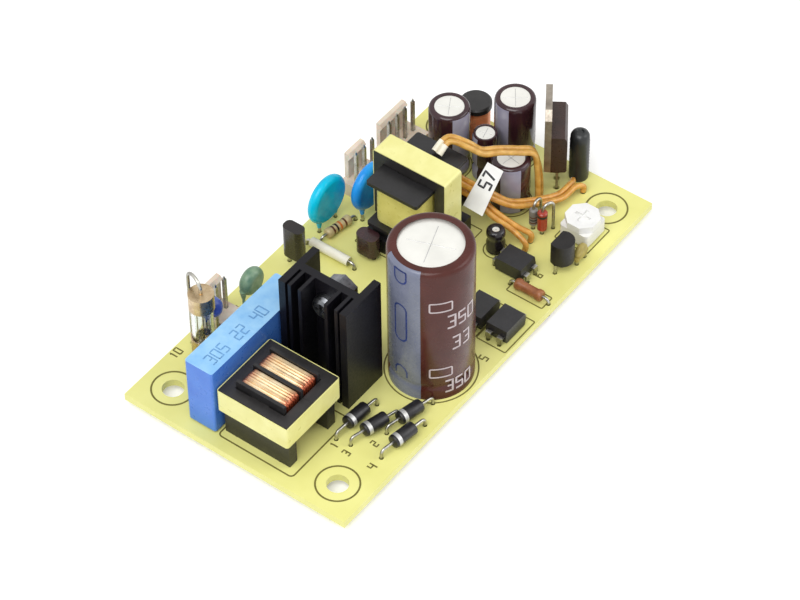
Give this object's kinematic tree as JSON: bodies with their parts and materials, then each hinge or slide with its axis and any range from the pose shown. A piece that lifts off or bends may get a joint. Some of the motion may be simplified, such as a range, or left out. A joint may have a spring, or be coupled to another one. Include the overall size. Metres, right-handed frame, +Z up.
{
  "type": "open frame power supply",
  "caption": "Open frame mains power supply on a bare circuit board with corner mounting holes, pin headers along the rear edge, a filter choke, a heatsink, a transformer and upright capacitors.",
  "frame": {"origin": "centre of the four mounting holes, on the underside of the circuit board", "axes": "+X along the board from the mains edge to the output edge, +Y across the board towards the pin headers, +Z up out of the component side"},
  "size_m": [0.0978, 0.0508, 0.0366],
  "materials": {
    "laminate": "satin",
    "solder": "satin",
    "drawn_can": "satin",
    "brown_sleeve": "gloss",
    "blue_case": "satin",
    "ferrite": "matte",
    "black_moulding": "satin",
    "tinned_wire": "satin",
    "enamelled_copper": "gloss",
    "cream_tape": "satin",
    "black_anodised": "satin",
    "plated_steel": "satin",
    "epoxy_moulding": "satin",
    "silicone_pad": "matte",
    "clear_glass": "gloss",
    "plated_brass": "satin",
    "violet_coating": "gloss",
    "green_coating": "satin",
    "cyan_coating": "gloss",
    "blue_coating": "gloss",
    "brown_coating": "gloss",
    "white_sleeve": "satin",
    "tan_coating": "satin",
    "amber_insulation": "satin",
    "white_tag": "matte",
    "natural_nylon": "satin",
    "plum_sleeve": "gloss",
    "black_sleeve": "satin",
    "white_moulding": "satin",
    "yellow_coating": "gloss",
    "red_glass": "gloss",
    "grey_coating": "satin"
  },
  "bodies": {
    "board": {"circuit_board": "laminate", "solder_joints": "solder", "bulk_capacitor_can": "drawn_can", "bulk_capacitor_sleeve": "brown_sleeve", "x_capacitor": "blue_case", "filter_core": "ferrite", "filter_bobbin": "black_moulding", "filter_pins": "tinned_wire", "filter_winding_1": "enamelled_copper", "filter_winding_2": "enamelled_copper", "filter_tape": "cream_tape", "heatsink": "black_anodised", "heatsink_screw": "plated_steel", "heatsink_nut": "plated_steel", "switch_transistor": "epoxy_moulding", "transistor_pad": "silicone_pad", "fuse_tube": "clear_glass", "fuse_caps": "plated_brass", "small_disc_capacitor": "violet_coating", "inrush_thermistor": "green_coating", "y_capacitor_1": "cyan_coating", "y_capacitor_2": "blue_coating", "film_capacitor": "brown_coating", "clamp_capacitor": "brown_coating", "sleeved_jumper": "white_sleeve", "clamp_resistor": "tan_coating", "transformer_core": "ferrite", "transformer_bobbin": "black_moulding", "transformer_winding": "cream_tape", "transformer_tape": "cream_tape", "transformer_pins": "tinned_wire", "flying_leads_1": "amber_insulation", "flying_leads_2": "amber_insulation", "flying_leads_3": "amber_insulation", "lead_tag": "white_tag", "input_header_housing": "natural_nylon", "input_header_pins": "tinned_wire", "control_header_housing": "natural_nylon", "control_header_pins": "tinned_wire", "output_header_housing": "natural_nylon", "output_header_pins": "tinned_wire", "output_capacitor_1": "plum_sleeve", "output_capacitor_2": "plum_sleeve", "output_capacitor_3": "plum_sleeve", "output_capacitor_4": "plum_sleeve", "control_capacitor": "plum_sleeve", "output_choke_core": "ferrite", "output_choke_winding": "enamelled_copper", "shrink_wrapped_choke": "black_sleeve", "output_rectifier": "epoxy_moulding", "trimmer_base": "white_moulding", "control_transistor": "epoxy_moulding", "ceramic_capacitor": "yellow_coating", "zener_diode": "red_glass", "sense_resistor": "grey_coating", "feedback_resistor": "tan_coating", "optocouplers": "epoxy_moulding", "control_chip": "epoxy_moulding", "bridge_diodes": "epoxy_moulding"},
    "trimmer": {"trimmer_rotor": "white_moulding"}
  },
  "joints": [
    {"name": "trimmer_turn", "type": "hinge", "parent": "board", "child": "trimmer", "pos_m": [0.0342, -0.0191, 0.005], "axis": [0, 0, 1], "range_deg": [-117.5, 117.5]}
  ]
}
